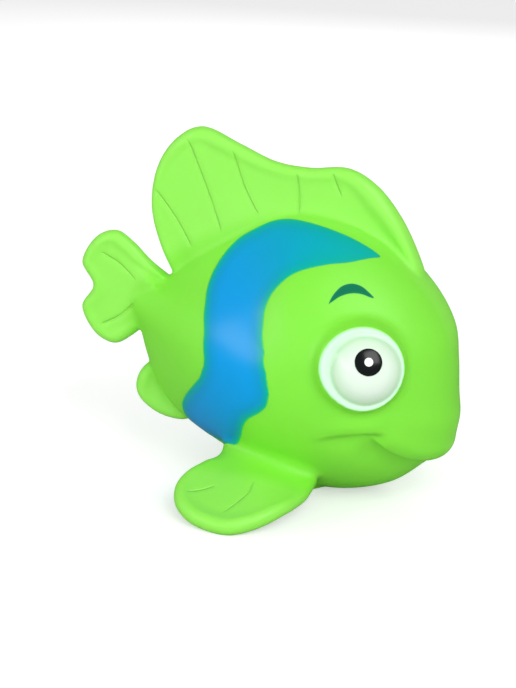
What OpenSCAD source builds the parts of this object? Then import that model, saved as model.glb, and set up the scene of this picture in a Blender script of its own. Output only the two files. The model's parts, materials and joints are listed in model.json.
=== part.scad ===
// Squeaky bath toy: a soft vinyl fish with a whistle pressed into its belly.
// The nose points along +X, the dorsal fin along +Z, and y = 0 is the plane of symmetry.
// The fish stands on its belly ring and on the tips of its two pectoral fins, at z = 0.

/* [Body] */
// Length of the body from the tail root to the nose
body_l = 89.5; // [70:0.5:120]
// Height of the body from the belly to the back
body_h = 72.5; // [60:0.5:95]
// Width of the body across the cheeks
body_w = 53; // [44:0.5:70]
// Thickness of the moulded vinyl wall
wall = 2.2; // [1.4:0.1:3]
// Share of its width that the body loses towards the tail
tail_pinch = 0.65; // [0.5:0.05:0.85]
// Share of its width that the body loses towards the back
back_pinch = 0.3; // [0.1:0.05:0.4]
// Share of its width that the body loses towards the belly
belly_pinch = 0.25; // [0.1:0.05:0.35]

/* [Fins] */
// Length of the dorsal fin along the back
dorsal_l = 74; // [60:0.5:95]
// Height of the dorsal fin above its rear root
dorsal_h = 42; // [34:0.5:54]
// Length of the tail fin
tail_l = 24.8; // [18:0.1:32]
// Height of the tail fin across both lobes
tail_h = 31; // [24:0.5:40]
// Length of the anal fin along the belly
anal_l = 18; // [13:0.5:22]
// Height of the anal fin
anal_h = 16; // [12:0.5:20]
// Width of a pectoral fin from front to rear
flipper_w = 34; // [27:0.5:40]
// Reach of a pectoral fin from its root to its tip
flipper_l = 31.5; // [26:0.5:38]
// Slope of a pectoral fin below the level
flipper_slope = 19; // [16:0.5:22]
// Distance of a pectoral fin's root from the middle of the body
flipper_root_y = 19; // [15:0.5:24]
// Height of a pectoral fin's root above the ground
flipper_root_z = 9.5; // [8:0.1:12]
// Radius of the rounded rim round every fin
rim_r = 2.3; // [1.8:0.1:3]
// Half thickness of the fin panels inside the rim
panel_half = 1.6; // [1.2:0.1:2]

/* [Face and paint] */
// Radius of the eyeball's dome
eye_r = 10.2; // [9.8:0.1:12]
// Radius of the moulded lip round the eye
lip_r = 9.9; // [8:0.1:10.5]
// Radius of the lip's rounded bead
bead_r = 1.2; // [0.9:0.1:1.6]
// Radius of the pupil
pupil_r = 3.4; // [2.5:0.1:4.5]
// Radius of the white glint in the pupil
glint_r = 1.1; // [0.8:0.05:1.8]
// Width of the mouth's groove
mouth_w = 1.3; // [0.8:0.1:1.8]
// Depth of the mouth's groove
mouth_d = 1; // [0.5:0.1:1.2]
// Thickness of one coat of paint
coat = 0.2; // [0.1:0.02:0.3]

/* [Squeaker] */
// Diameter of the belly hole that the squeaker is pressed into
hole_d = 11; // [10:0.1:12]
// Thickness of the vinyl that the squeaker's neck passes through
seat_t = 2.4; // [1.8:0.1:3]
// Diameter of the squeaker's outer flange
flange_d = 15; // [14:0.1:16]
// Thickness of the outer flange
flange_t = 1; // [0.8:0.1:1.4]
// Width of the ring of vinyl that the fish stands on, round the flange
ring_w = 2; // [1.5:0.1:3]
// Height of the squeaker's tube above its flange
tube_h = 17; // [16:0.5:22]
// Thickness of the squeaker's tube and base
tube_t = 1.1; // [0.9:0.1:1.4]
// Diameter of the air port through the base
port_d = 3; // [2:0.1:4]
// Thickness of the reed
reed_t = 0.2; // [0.15:0.01:0.3]
// Width of the reed
reed_w = 5; // [4:0.1:5.6]
// Angle that the reed stands off its seat
reed_lift = 3; // [2:0.5:4]

/* [Hidden] */
$fn = 48;

vinyl_green = [0.45, 0.86, 0.22];
paint_blue = [0.0, 0.58, 0.84];
paint_teal = [0.0, 0.55, 0.42];
paint_white = [0.96, 0.97, 0.95];
paint_black = [0.03, 0.03, 0.03];
plastic_white = [0.93, 0.93, 0.9];
reed_amber = [0.85, 0.62, 0.25];

// One overrun serves all cuts
over = 1;
// Gap between a fitted piece and its seat
snug = 0.05;

// Body: the tail root, the belly and the middle that the skin swells from
rear_x = -38.5 / 89.5 * body_l;
middle = [rear_x + 0.565 * body_l, 0.49 * body_h];
body_shares = [
    [1.0, 0.295], [0.993, 0.4], [0.985, 0.52], [0.968, 0.64], [0.908, 0.765],
    [0.81, 0.885], [0.685, 0.97], [0.555, 1.0], [0.43, 0.975], [0.315, 0.915],
    [0.21, 0.835], [0.115, 0.755], [0.02, 0.69], [0.0, 0.62], [0.035, 0.52],
    [0.06, 0.42], [0.09, 0.325], [0.155, 0.22], [0.265, 0.135], [0.4, 0.06],
    [0.53, 0.01], [0.64, -0.008], [0.74, 0.008], [0.83, 0.047], [0.905, 0.112],
    [0.972, 0.18]
];
skin_columns = 66;
skin_rings = 10;
cavity_columns = 40;
cavity_rings = 7;
// Powers and directions that shape the swell of the skin
flank_power = 0.86;
tail_dir = 163;
back_dir = 95;
belly_dir = -75;

// One point of the smooth curve through four points, at share t between the middle two
function blend4(p, t) =
    0.5 * (2 * p[1] + (p[2] - p[0]) * t
        + (2 * p[0] - 5 * p[1] + 4 * p[2] - p[3]) * t * t
        + (3 * p[1] - p[0] - 3 * p[2] + p[3]) * t * t * t);

// Point at share u of the closed curve through all the points
function closed_at(points, u) =
    let (n = len(points), s = u * n, i = floor(s))
    blend4([for (k = [-1:2]) points[(i + k + n) % n]], s - i);

// Point at share u of the open curve from the first point to the last
function open_at(points, u) =
    let (n = len(points) - 1, s = min(u, 0.99999) * n, i = floor(s))
    blend4([for (k = [-1:2]) points[min(max(i + k, 0), n)]], s - i);

function body_edge(u) =
    let (p = closed_at(body_shares, u)) [rear_x + p[0] * body_l, p[1] * body_h];

// Share of the half width that is lost in one direction, strongest on the midplane
function pinch(dir) =
    tail_pinch * pow(max(0, cos(dir - tail_dir)), 2)
    + back_pinch * pow(max(0, cos(dir - back_dir)), 2)
    + belly_pinch * pow(max(0, cos(dir - belly_dir)), 2);

// The outline with its bumps evened out, which the rear flanks follow
calm_steps = 180;
calm_reach = 15;
calm_spread = 5.5;
calm_power = 6;
calm_shares = [0.52, 0.296];
outline_points = [for (i = [0:calm_steps - 1]) body_edge(i / calm_steps)];
calm_weights = [for (k = [-calm_reach:calm_reach]) exp(-pow(k / calm_spread, 2) / 2)];
calm_total = calm_weights * [for (w = calm_weights) 1];
calm_points = [for (i = [0:calm_steps - 1])
    calm_weights / calm_total
        * [for (k = [-calm_reach:calm_reach]) outline_points[(i + k + calm_steps) % calm_steps]]
];

// Share of the evened outline at an outline point and a latitude: none in the face, all in the rear flanks
function calm_share(edge, phi) =
    let (t = min(1, max(0, ((edge[0] - rear_x) / body_l - calm_shares[0]) / (calm_shares[1] - calm_shares[0]))))
    t * t * (3 - 2 * t) * (1 - pow(cos(phi), calm_power));

// Point of the skin in column u at latitude phi, moved outwards by grow
function skin_point(u, phi, grow) =
    let (
        edge = body_edge(u),
        calm = calm_share(edge, phi),
        e = edge * (1 - calm) + closed_at(calm_points, u) * calm - middle,
        size = norm(e),
        reach = (size + grow) / size * pow(cos(phi), flank_power),
        slim = 1 - pinch(atan2(e[1], e[0])) * pow(cos(phi), 2)
    )
    [middle[0] + e[0] * reach, -(body_w / 2 + grow) * slim * sin(phi), middle[1] + e[1] * reach];

// Closed skin of the body, with its two poles on the flanks
module skin(grow, columns, rings) {
    last = 2 * rings - 1;
    points = concat(
        [for (j = [1:last]) for (i = [0:columns - 1])
            skin_point(i / columns, 90 * (j / rings - 1), grow)],
        [skin_point(0, -90, grow), skin_point(0, 90, grow)]
    );
    low = columns * last;
    faces = concat(
        [for (j = [0:last - 2]) for (i = [0:columns - 1])
            let (a = j * columns + i, b = j * columns + (i + 1) % columns)
            for (f = [[a, b + columns, b], [a, a + columns, b + columns]]) f],
        [for (i = [0:columns - 1]) [low, i, (i + 1) % columns]],
        [for (i = [0:columns - 1])
            [low + 1, low - columns + (i + 1) % columns, low - columns + i]]
    );
    polyhedron(points, faces);
}

// Fins: a panel between a buried root line and an outer edge, inside a rounded rim
dorsal_shares = [
    [0.1, 0.02], [0.038, 0.224], [0.0, 0.474], [0.018, 0.724], [0.085, 0.914], [0.182, 1.0],
    [0.315, 0.914], [0.436, 0.831], [0.558, 0.81], [0.693, 0.829], [0.801, 0.731],
    [0.889, 0.545], [0.954, 0.326], [0.99, 0.152]
];
dorsal_root_shares = [0.425, 0.175];
tail_shares = [
    [-0.03, -0.13], [0.2, -0.26], [0.4, -0.41], [0.6, -0.5], [0.825, -0.42], [0.97, -0.2],
    [0.845, 0.0], [0.97, 0.2], [0.825, 0.42], [0.6, 0.5], [0.4, 0.41], [0.2, 0.26],
    [-0.03, 0.13]
];
anal_shares = [
    [1.0, 0.12], [0.75, 0.0], [0.47, 0.02], [0.25, 0.12], [0.06, 0.3], [0.0, 0.53],
    [0.08, 0.8], [0.3, 1.05]
];
flipper_shares = [
    [0.2, 0.0], [0.21, 0.1], [0.145, 0.23], [0.035, 0.4], [0.0, 0.58], [0.055, 0.77],
    [0.2, 0.92], [0.4, 0.99], [0.56, 0.975], [0.74, 0.84], [0.88, 0.64], [0.94, 0.4],
    [0.99, 0.27], [1.06, 0.12]
];
flipper_root_shares = [[0.32, -0.06], [0.92, 0.02]];
dorsal_columns = 30;
tail_columns = 30;
anal_columns = 12;
flipper_columns = 26;
// Share of the way from the middle to the skin where a buried root lies
bury_share = 0.86;
// Half thickness of a fin at its buried root, in rim radii
root_swell = 1.7;

// Rounded rim, as shares of its radius: distance in from the outer edge, and half thickness
rim_shares = [[0, 0], [0.13, 0.5], [0.5, 0.866], [1, 1], [1.8, 0.82]];
// Distance in from the outer edge at which the rim has sunk to the panel, in rim radii
rim_end = 2.6;
// Place of the last station before the buried root, between the rim's end and that root
panel_share = 0.6;

// Closed loop round one column of a fin: straight in across the rim, then on to the buried root
function fin_loop(edge, inward, root) =
    let (
        k = min(1, norm(root - edge) / (2 * rim_end * rim_r)),
        foot = edge + inward * rim_end * rim_r * k,
        side = concat(
            [for (q = rim_shares) edge + inward * q[0] * rim_r * k],
            [foot, foot + (root - foot) * panel_share, root]
        ),
        half = concat([for (q = rim_shares) q[1] * rim_r], [panel_half, 1.1 * panel_half, root_swell * rim_r]),
        last = len(side) - 1
    )
    concat(
        [for (k = [0:last]) [side[k][0], half[k], side[k][1]]],
        [for (k = [last:-1:1]) [side[k][0], -half[k], side[k][1]]]
    );

// Unit vector square to the edge at point i, with the fin on the right of its way
function inward_at(edges, i) =
    let (d = edges[min(i + 1, len(edges) - 1)] - edges[max(i - 1, 0)]) [d[1], -d[0]] / norm(d);

// Closed solid through a list of loops that all have as many points
module loft(loops) {
    rows = len(loops);
    m = len(loops[0]);
    faces = concat(
        [[for (k = [m - 1:-1:0]) k]],
        [[for (k = [0:m - 1]) (rows - 1) * m + k]],
        [for (i = [0:rows - 2]) for (k = [0:m - 1])
            let (a = i * m + k, b = i * m + (k + 1) % m)
            for (f = [[a, b + m, a + m], [a, b, b + m]]) f]
    );
    polyhedron([for (l = loops) for (p = l) p], faces);
}

// Fin between matching lists of edge points and root points
module fin(edges, roots) {
    loft([for (i = [0:len(edges) - 1]) fin_loop(edges[i], inward_at(edges, i), roots[i])]);
}

function sampled(points, columns) = [for (i = [0:columns]) open_at(points, i / columns)];

module dorsal_fin() {
    origin = [rear_x + dorsal_x_share * body_l, dorsal_z_share * body_h];
    edges = sampled([for (p = dorsal_shares) origin + [p[0] * dorsal_l, p[1] * dorsal_h]], dorsal_columns);
    roots = [for (i = [0:dorsal_columns])
        let (u = dorsal_root_shares[0] + (dorsal_root_shares[1] - dorsal_root_shares[0]) * i / dorsal_columns)
        middle + (body_edge(u) - middle) * bury_share];
    fin(edges, roots);
}

module tail_fin() {
    origin = [rear_x + tail_x_share * body_l, tail_z_share * body_h];
    edges = sampled([for (p = tail_shares) origin + [-p[0] * tail_l, p[1] * tail_h]], tail_columns);
    roots = [for (e = edges) [origin[0] + tail_bury * tail_l, origin[1] + tail_gather * (e[1] - origin[1])]];
    fin(edges, roots);
}

module anal_fin() {
    origin = [rear_x + anal_x_share * body_l, anal_z_share * body_h];
    edges = sampled([for (p = anal_shares) origin + [p[0] * anal_l, p[1] * anal_h]], anal_columns);
    fin(edges, [for (e = edges) e + (middle - e) * anal_bury]);
}

// Pectoral fin of the right side
module flipper() {
    start = [flipper_x, -flipper_root_depth];
    edges = sampled([for (p = flipper_shares) start + [p[0] * flipper_w, p[1] * flipper_l]], flipper_columns);
    ends = [for (p = flipper_root_shares) start + [p[0] * flipper_w, p[1] * flipper_l]];
    roots = [for (i = [0:flipper_columns]) ends[0] + (ends[1] - ends[0]) * i / flipper_columns];
    translate([0, -flipper_root_y, flipper_root_z])
        rotate([90 + flipper_slope, 0, 0])
            fin(edges, roots);
}

// Places of the fins on the body
dorsal_x_share = 0.069;
dorsal_z_share = 0.684;
tail_x_share = 0.126;
tail_z_share = 0.642;
tail_bury = -0.07;
tail_gather = 0.15;
anal_x_share = 0.029;
anal_z_share = 0.165;
anal_bury = 0.25;
flipper_x = rear_x + 0.265 * body_l;
flipper_root_depth = 6;

// Eyes: the dome, its moulded lip and the skirt that joins them to the cheek
eye_at = [rear_x + 0.762 * body_l, -0.45 * body_w, 0.565 * body_h];
eye_yaw = 20;
eye_pitch = 8;
gaze_yaw = 26;
gaze_pitch = 23;
dome_base_r = lip_r - 0.6 * bead_r;
dome_depth = sqrt(eye_r * eye_r - dome_base_r * dome_base_r);
skirt_r = lip_r + 2 * bead_r;
dome_steps = 6;
bead_steps = 4;
bead_end = 50;
eye_facets = 30;

// Turns and places what is drawn round +Z so that it looks out of the right eye's centre
module from_eye(yaw, pitch) {
    toward = [sin(eye_yaw) * cos(eye_pitch), -cos(eye_yaw) * cos(eye_pitch), sin(eye_pitch)];
    translate(eye_at - toward * dome_depth)
        rotate([0, 0, yaw])
            rotate([90 - pitch, 0, 0])
                children();
}

function arc(centre, r, from, to, steps) =
    [for (k = [0:steps]) let (a = from + (to - from) * k / steps) centre + r * [cos(a), sin(a)]];

// Valley where a dome and a bead of these radii meet
function eye_valley(dome, bead) =
    let (
        far = norm([lip_r, dome_depth]), way = [lip_r, dome_depth] / far,
        along = (dome * dome - bead * bead + far * far) / (2 * far)
    )
    way * along + [-way[1], way[0]] * sqrt(dome * dome - along * along);

// Half outline of the dome and the lip from the axis outwards, moved outwards by grow
function eye_curve(grow) =
    let (
        valley = eye_valley(eye_r + grow, bead_r + grow),
        bead_start = atan2(valley[1] - dome_depth, valley[0] - lip_r)
    )
    concat(
        arc([0, 0], eye_r + grow, 90, atan2(valley[1], valley[0]), dome_steps),
        [for (k = [1:bead_steps]) arc([lip_r, dome_depth], bead_r + grow, bead_start, bead_end, bead_steps)[k]]
    );

module eye_boss() {
    from_eye(eye_yaw, eye_pitch)
        rotate_extrude($fn = eye_facets)
            polygon(concat(
                [[0, 0]], eye_curve(0),
                [[lip_r + bead_r, dome_depth], [skirt_r, 0.5 * dome_depth], [skirt_r, 0]]
            ));
}

// Mouth: a groove that rises from the middle of the lips to the corners in the cheeks
mouth_x = rear_x + 0.785 * body_l;
mouth_z = 0.152 * body_h;
mouth_rise = 0.152 * body_h;
mouth_half = 0.405 * body_w;
mouth_power = 2.2;

function mouth_line(y) = mouth_z + mouth_rise * pow(abs(y) / mouth_half, mouth_power);

module mouth_groove() {
    steps = 12;
    ys = [for (i = [-steps:steps]) mouth_half * i / steps];
    difference() {
        translate([mouth_x, 0, 0])
            rotate([90, 0, 90])
                linear_extrude(body_l / 3)
                    polygon(concat(
                        [for (y = ys) [y, mouth_line(y) - mouth_w / 2]],
                        [for (k = [2 * steps:-1:0]) [ys[k], mouth_line(ys[k]) + mouth_w / 2]]
                    ));
        skin(-mouth_d, skin_columns, skin_rings);
    }
}

// Belly ring that the fish stands on, round the squeaker
hole_x = rear_x + 0.54 * body_l;
recess_r = flange_d / 2 + snug;
ring_r = recess_r + ring_w;
pilot_r = 0.8 * hole_d / 2;
flange_inset = 0.3;
recess_z = flange_inset + flange_t;
seat_z = recess_z + seat_t;
ring_h = seat_z + wall;

module belly_ring() {
    translate([hole_x, 0, 0])
        rotate_extrude($fn = eye_facets)
            polygon([
                [0, 0], [ring_r - 0.3 * ring_w, 0], [ring_r, 0.3 * ring_w], [ring_r + 0.5 * ring_w, ring_h],
                [0, ring_h]
            ]);
}

// Everything that the mould shapes on the outside
module outside() {
    intersection() {
        union() {
            skin(0, skin_columns, skin_rings);
            dorsal_fin();
            tail_fin();
            anal_fin();
            belly_ring();
            both_sides() {
                flipper();
                eye_boss();
            }
        }
        translate([-body_l, -body_l, 0]) cube([2 * body_l, 2 * body_l, 2 * body_l]);
    }
}

module both_sides() {
    children();
    mirror([0, 1, 0]) children();
}

// Hollow of the body, with room round the squeaker's barb, above the vinyl that the neck passes through
module hollow() {
    difference() {
        union() {
            skin(-wall, cavity_columns, cavity_rings);
            translate([hole_x, 0, 0])
                cylinder(h = seat_z + barb_h + well_gap, r = barb_r + well_gap, $fn = eye_facets);
        }
        translate([-body_l, -body_l, -body_l]) cube([2 * body_l, 2 * body_l, body_l + seat_z]);
    }
}

// Soft vinyl moulding: body, fins, eye domes and lips in one piece, with the squeaker's hole
module body_shell() {
    color(vinyl_green)
        difference() {
            // A resize of zeros keeps the size and joins the faceted skins as one mesh
            resize([0, 0, 0])
                difference() {
                    outside();
                    hollow();
                    mouth_groove();
                    translate([hole_x, 0, -over]) cylinder(h = seat_z + 2 * over, r = pilot_r, $fn = 16);
                }
            translate([hole_x, 0, 0])
                rotate_extrude()
                    polygon([
                        [0, -over], [recess_r, -over], [recess_r, recess_z], [hole_d / 2, recess_z],
                        [hole_d / 2, seat_z + over], [0, seat_z + over]
                    ]);
        }
}

// Squeaker cup: flange, neck, barb and tube, turned in one piece with the air port in its base
neck_r = hole_d / 2 - snug;
tube_r = neck_r - tube_t;
barb_r = neck_r + 0.9;
barb_h = 1.6;
well_gap = 0.4;
cup_base_z = flange_inset + 2.4;

module squeaker_cup() {
    color(plastic_white)
        translate([hole_x, 0, 0])
            rotate_extrude()
                polygon([
                    [port_d / 2, flange_inset], [flange_d / 2, flange_inset], [flange_d / 2, recess_z],
                    [neck_r, recess_z], [neck_r, seat_z], [barb_r, seat_z], [neck_r, seat_z + barb_h],
                    [neck_r, flange_inset + tube_h], [tube_r, flange_inset + tube_h],
                    [tube_r, cup_base_z], [port_d / 2, cup_base_z]
                ]);
}

// Reed seat: a disc on the cup's base that carries a half-round trough, open along its flat face
seat_r = tube_r - snug;
disc_t = 1;
clamp_h = 2.2;
trough_h = 11;
trough_r = 3.2;
trough_wall = 1;
clamp_z = cup_base_z + disc_t;

module half_round(r, h) {
    intersection() {
        cylinder(h = h, r = r);
        translate([0, -r - over, -over]) cube([r + over, 2 * (r + over), h + 2 * over]);
    }
}

module reed_seat() {
    color(plastic_white)
        translate([hole_x, 0, cup_base_z])
            difference() {
                union() {
                    cylinder(h = disc_t, r = seat_r);
                    half_round(seat_r, disc_t + clamp_h);
                    half_round(trough_r, disc_t + trough_h);
                }
                translate([trough_wall / 2, 0, -over])
                    cylinder(h = trough_h + disc_t - trough_wall + over, r = port_d / 2);
                translate([-over, -port_d / 2, disc_t + clamp_h])
                    cube([over + trough_wall, port_d, trough_h - clamp_h - trough_wall]);
            }
}

// Reed: a springy strip, clamped at its root and standing off the trough at its tip
reed_play = 0.12;
reed_slot = reed_t + 2 * reed_play;
reed_axis = [hole_x - reed_slot / 2, clamp_z + clamp_h / 2];
reed_tail = clamp_h / 2 - 2 * snug;
reed_tip = trough_h - clamp_h / 2 - trough_wall / 2;

module reed() {
    color(reed_amber)
        translate([reed_axis[0], 0, reed_axis[1]])
            rotate([0, -reed_lift, 0])
                translate([-reed_t / 2, -reed_w / 2, -reed_tail])
                    cube([reed_t, reed_w, reed_tail + reed_tip]);
}

// Wedge that closes the clamp on the reed's root
module reed_wedge() {
    color(plastic_white)
        translate([hole_x, 0, clamp_z])
            difference() {
                cylinder(h = clamp_h, r = seat_r);
                translate([-reed_slot, -seat_r - over, -over])
                    cube([2 * seat_r, 2 * (seat_r + over), clamp_h + 2 * over]);
            }
}

// Paint: thin coats that follow the moulded skin
// Each row gives the two edges of a coat, as a share round the body's outline and a latitude
stripe_share_rows = [
    [0.2045, 21, 0.2045, 19.9], [0.2218, 34.5, 0.2114, 19.7], [0.2429, 42.1, 0.2303, 20],
    [0.2595, 46.5, 0.2508, 19.7], [0.2748, 50, 0.272, 17.9], [0.2901, 54, 0.2987, 14.3],
    [0.3062, 58.5, 0.3224, 18], [0.3195, 63.4, 0.3415, 23.3], [0.3307, 68.9, 0.3626, 30.9],
    [0.3432, 73.7, 0.3814, 38.4], [0.353, 76.8, 0.3985, 45.6], [0.3665, 79.5, 0.4153, 52.7],
    [0.4343, 84.8, 0.4456, 61], [0.5391, 85.8, 0.4787, 64.4], [0.6253, 85.3, 0.5178, 65.1],
    [0.6642, 84.4, 0.5417, 64.2], [0.6849, 83.2, 0.5597, 62.9], [0.708, 79.7, 0.5882, 59.5],
    [0.7092, 75.3, 0.6115, 53.1], [0.7017, 68.3, 0.63, 44.2], [0.7045, 62.5, 0.6446, 35.8],
    [0.711, 56, 0.6608, 20.9], [0.714, 51, 0.674, 14]
];
brow_share_rows = [
    [0.186, 42.2, 0.1865, 41.6], [0.19, 43.2, 0.193, 41.6], [0.197, 44.6, 0.202, 41.8],
    [0.205, 47.2, 0.211, 43.8], [0.213, 51.3, 0.218, 47.8], [0.218, 55.3, 0.221, 52.9],
    [0.2205, 57.2, 0.221, 56.4]
];
stripe_columns = 40;
stripe_strips = 7;
brow_columns = 12;
brow_strips = 2;
cap_steps = 6;

// Coat on the skin between the two edges that the rows give
module body_coat(rows, columns, strips) {
    loft([for (i = [0:columns])
        let (
            r = open_at(rows, i / columns),
            places = [for (j = [0:strips]) [r[0], r[1]] + ([r[2], r[3]] - [r[0], r[1]]) * j / strips]
        )
        concat(
            [for (q = places) skin_point(q[0], q[1], snug)],
            [for (j = [strips:-1:0]) skin_point(places[j][0], places[j][1], snug + coat)]
        )
    ]);
}

// Round cap of paint on the eye's dome, over the coats that lie under it
module dome_cap(r, under) {
    inner = eye_r + under;
    reach = acos(r / inner);
    from_eye(gaze_yaw, gaze_pitch)
        rotate_extrude()
            polygon(concat(
                arc([0, 0], inner + coat, 90, reach, cap_steps), arc([0, 0], inner, reach, 90, cap_steps)
            ));
}

module stripe() { color(paint_blue) body_coat(stripe_share_rows, stripe_columns, stripe_strips); }
module brow() { color(paint_teal) body_coat(brow_share_rows, brow_columns, brow_strips); }

// White coat over the dome and the crest of the lip
module eye_white() {
    inner = eye_curve(snug);
    color(paint_white)
        from_eye(eye_yaw, eye_pitch)
            rotate_extrude()
                polygon(concat(
                    eye_curve(snug + coat), [for (k = [len(inner) - 1:-1:0]) inner[k]]
                ));
}

module pupil() { color(paint_black) dome_cap(pupil_r, snug + coat); }
module glint() { color(paint_white) dome_cap(glint_r, snug + 2 * coat); }

body_shell();
squeaker_cup();
reed_seat();
reed();
reed_wedge();
stripe();  // stripe_right
mirror([0, 1, 0]) stripe();  // stripe_left
eye_white();  // eye_white_right
mirror([0, 1, 0]) eye_white();  // eye_white_left
pupil();  // pupil_right
mirror([0, 1, 0]) pupil();  // pupil_left
glint();  // glint_right
mirror([0, 1, 0]) glint();  // glint_left
brow();  // brow_right
mirror([0, 1, 0]) brow();  // brow_left
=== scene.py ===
# %% [markdown]
# # A squeaky bath toy: soft vinyl fish
# The real toy is one hollow moulding of soft green vinyl, with paint sprayed on it through masks and a small
# whistle pressed into its belly. The imported CAD model is loaded as a fixed frame first. Everything below is made
# round it in metres, in the same place.

# %% Load the frame
import json
import math

import bmesh
import bpy
import numpy as np
from mathutils import Matrix

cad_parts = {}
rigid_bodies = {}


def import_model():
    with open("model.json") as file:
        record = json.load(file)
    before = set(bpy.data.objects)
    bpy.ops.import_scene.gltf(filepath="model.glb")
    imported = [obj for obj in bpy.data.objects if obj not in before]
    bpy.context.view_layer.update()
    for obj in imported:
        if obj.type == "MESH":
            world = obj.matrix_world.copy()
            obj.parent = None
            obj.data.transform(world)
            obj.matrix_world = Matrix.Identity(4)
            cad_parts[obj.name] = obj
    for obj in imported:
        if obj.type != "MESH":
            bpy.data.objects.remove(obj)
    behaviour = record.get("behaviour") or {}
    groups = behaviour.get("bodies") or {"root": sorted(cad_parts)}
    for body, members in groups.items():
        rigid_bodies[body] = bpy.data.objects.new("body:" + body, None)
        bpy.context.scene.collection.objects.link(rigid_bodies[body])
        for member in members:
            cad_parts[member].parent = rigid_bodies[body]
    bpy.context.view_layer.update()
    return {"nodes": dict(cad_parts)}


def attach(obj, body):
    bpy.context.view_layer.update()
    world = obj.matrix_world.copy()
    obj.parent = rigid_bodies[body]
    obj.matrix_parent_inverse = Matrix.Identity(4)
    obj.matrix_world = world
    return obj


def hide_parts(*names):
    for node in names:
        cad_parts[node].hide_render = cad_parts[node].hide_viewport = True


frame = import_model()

MM = 0.001
print("frame nodes:", ", ".join(sorted(frame["nodes"])))

# %% [markdown]
# ## The camera
# The photograph looks at the fish's right side from a little in front and above, so the camera stands at azimuth
# 15 degrees and elevation 19 degrees, rolled by 2 degrees. It comes first, because it gives the frame that every
# later look is judged in. The sensor is fitted across, so that 516 pixels are 134 mm wide at the fish.

# %% Camera
VIEW_AZIMUTH, VIEW_ELEVATION, VIEW_ROLL = np.radians([15.0, 19.0, 2.0])
VIEW_DISTANCE = 480.0
VIEW_TARGET = np.array([-2.75, 0.0, 35.5])
VIEW_WIDTH = 134.16
SENSOR_WIDTH = 36.0


def add_object(name, data):
    """New object in the scene that holds the data, at the origin."""
    made = bpy.data.objects.new(name, data)
    bpy.context.scene.collection.objects.link(made)
    return made


def stand(piece, x, y, z, place_mm):
    """Puts a camera or a lamp in its place, with its own axes along three directions."""
    piece.matrix_world = Matrix([*zip(x, y, z, np.array(place_mm, float) * MM), (0, 0, 0, 1)])


back = np.array([
    np.sin(VIEW_AZIMUTH) * np.cos(VIEW_ELEVATION),
    -np.cos(VIEW_AZIMUTH) * np.cos(VIEW_ELEVATION),
    np.sin(VIEW_ELEVATION),
])
level = np.array([np.cos(VIEW_AZIMUTH), np.sin(VIEW_AZIMUTH), 0.0])
upright = np.cross(back, level)
right = level * np.cos(VIEW_ROLL) + upright * np.sin(VIEW_ROLL)
up = upright * np.cos(VIEW_ROLL) - level * np.sin(VIEW_ROLL)

lens = bpy.data.cameras.new("camera")
lens.sensor_fit = "HORIZONTAL"
lens.sensor_width = SENSOR_WIDTH
lens.lens = SENSOR_WIDTH * VIEW_DISTANCE / VIEW_WIDTH
lens.clip_start, lens.clip_end = 0.01, 20.0
camera = add_object("camera", lens)
stand(camera, right, up, back, VIEW_TARGET + VIEW_DISTANCE * back)
bpy.context.scene.camera = camera
print("focal length", round(lens.lens, 1), "mm")

# %% [markdown]
# ## From arrays to meshes
# Each surface is a grid of points worked out with numpy. These helpers put such a grid into a mesh. A grid may
# close on itself along either side, and a pole is closed by a fan of triangles to one point.

# %% Mesh helpers
def grid_quads(rows, columns, close_rows=False, close_columns=False):
    """Corners of the quads between neighbouring rows and columns of a grid, numbered row by row."""
    r = np.arange(rows if close_rows else rows - 1)
    c = np.arange(columns if close_columns else columns - 1)
    r, c = np.meshgrid(r, c, indexing="ij")
    r2, c2 = (r + 1) % rows, (c + 1) % columns
    return np.stack([r * columns + c, r * columns + c2, r2 * columns + c2, r2 * columns + c], -1).reshape(-1, 4)


def fan(ring, tip, turned=False):
    """Triangles from each neighbouring pair of a closed ring of indices to one tip."""
    following = np.roll(ring, -1)
    pair = (following, ring) if turned else (ring, following)
    return np.stack([pair[0], pair[1], np.full(len(ring), tip)], -1)


def put_mesh(name, points, *face_sets):
    """A mesh object from points in millimetres and arrays of faces, kept at the origin."""
    mesh = bpy.data.meshes.new(name)
    faces = [f for s in face_sets for f in np.asarray(s).tolist()]
    mesh.from_pydata((np.asarray(points) * MM).tolist(), [], faces)
    mesh.update()
    return add_object(name, mesh)


def smooth_shaded(piece):
    """Shades every face as part of a curved surface."""
    piece.data.polygons.foreach_set("use_smooth", np.ones(len(piece.data.polygons), bool))


def mesh_points(mesh):
    """Every vertex of a mesh, in millimetres."""
    flat = np.empty(len(mesh.vertices) * 3, np.float32)
    mesh.vertices.foreach_get("co", flat)
    return flat.reshape(-1, 3).astype(float) / MM


def settled(piece, name):
    """A new mesh object with the modifiers of another one worked out."""
    bpy.context.view_layer.update()
    done = bpy.data.meshes.new_from_object(piece.evaluated_get(bpy.context.evaluated_depsgraph_get()))
    done.name = name
    return add_object(name, done)


# %% [markdown]
# ## The body's outline
# Seen from the side, the fish's body without its fins is one closed curve. Twenty-six points are given as shares of
# the body's length and height, and a curve of cubic pieces passes through them. The CAD solid has the same outline,
# but for the notch between the dorsal and tail fins, which is deeper here, and its rear flanks are less even.

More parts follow.
